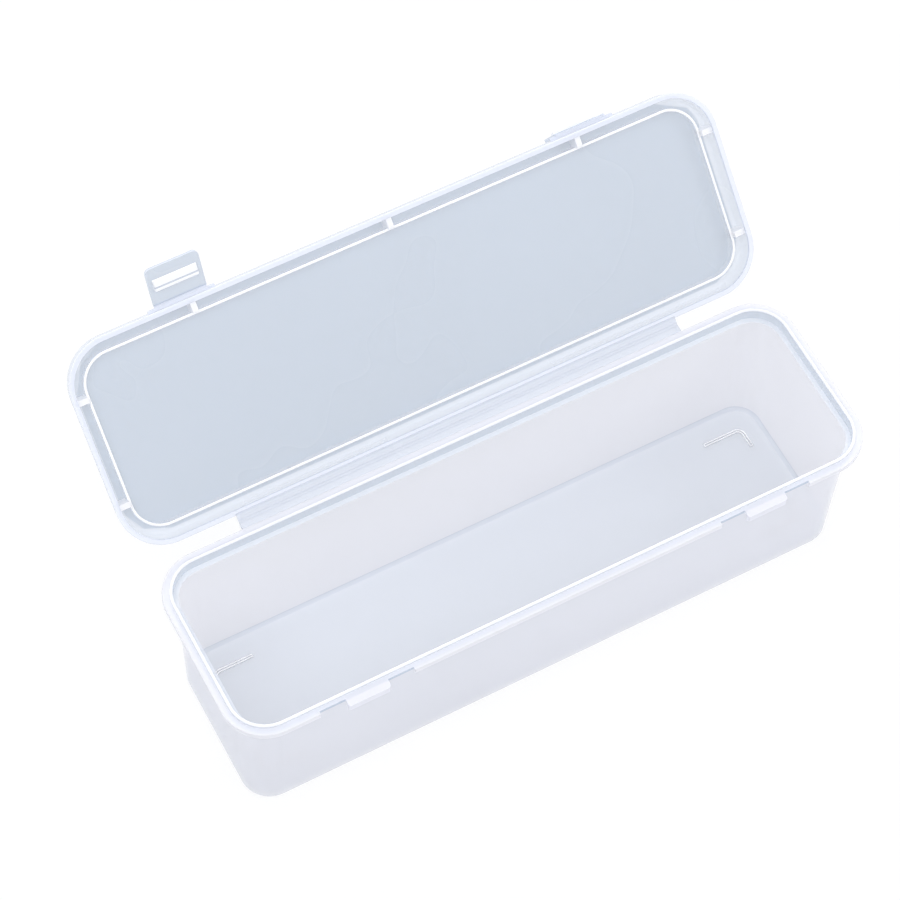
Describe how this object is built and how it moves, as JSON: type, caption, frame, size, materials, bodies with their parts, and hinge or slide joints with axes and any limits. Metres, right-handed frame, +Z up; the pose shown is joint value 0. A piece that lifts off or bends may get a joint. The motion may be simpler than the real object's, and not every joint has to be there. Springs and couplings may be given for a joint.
{
  "type": "hinged brush case",
  "caption": "Long translucent plastic box with rounded corners, a shallow lid on a moulded strap hinge, and snap latches on the lid's front edge that hook under catches on the rim.",
  "frame": {"origin": "centre of the box's flat underside, which it stands on", "axes": "+X along the box's length, to the right when its latches face the user; +Y to the rear, towards the hinge; +Z up"},
  "size_m": [0.2926, 0.1723, 0.1537],
  "materials": {
    "polypropylene": "translucent, lightly frosted",
    "polypropylene_film": "translucent, thin"
  },
  "bodies": {
    "tray": {"tray": "polypropylene", "floor_ridges": "polypropylene", "keeper_left": "polypropylene", "keeper_right": "polypropylene", "hinge_leaf_tray": "polypropylene", "hinge_web": "polypropylene_film"},
    "lid": {"hinge_leaf_lid": "polypropylene", "lid": "polypropylene", "lid_ring": "polypropylene", "lid_cross_ribs": "polypropylene", "latch_pedestal_left": "polypropylene", "latch_pedestal_right": "polypropylene", "latch_web_left": "polypropylene_film", "latch_web_right": "polypropylene_film"},
    "latch_left": {"latch_flap_left": "polypropylene", "latch_hook_left": "polypropylene"},
    "latch_right": {"latch_flap_right": "polypropylene", "latch_hook_right": "polypropylene"}
  },
  "joints": [
    {"name": "lid_hinge", "type": "hinge", "parent": "tray", "child": "lid", "pos_m": [0, 0.04735, 0.0753], "axis": [1, 0, 0], "range_deg": [-43.5, 136.5], "deforming": ["hinge_web"]},
    {"name": "latch_left_hinge", "type": "hinge", "parent": "lid", "child": "latch_left", "pos_m": [-0.0905, 0.11783, 0.13708], "axis": [1, 0, 0], "range_deg": [-127.6, 67.4], "deforming": ["latch_web_left"]},
    {"name": "latch_right_hinge", "type": "hinge", "parent": "lid", "child": "latch_right", "pos_m": [0.0905, 0.11783, 0.13708], "axis": [1, 0, 0], "range_deg": [0, 195], "deforming": ["latch_web_right"]}
  ]
}
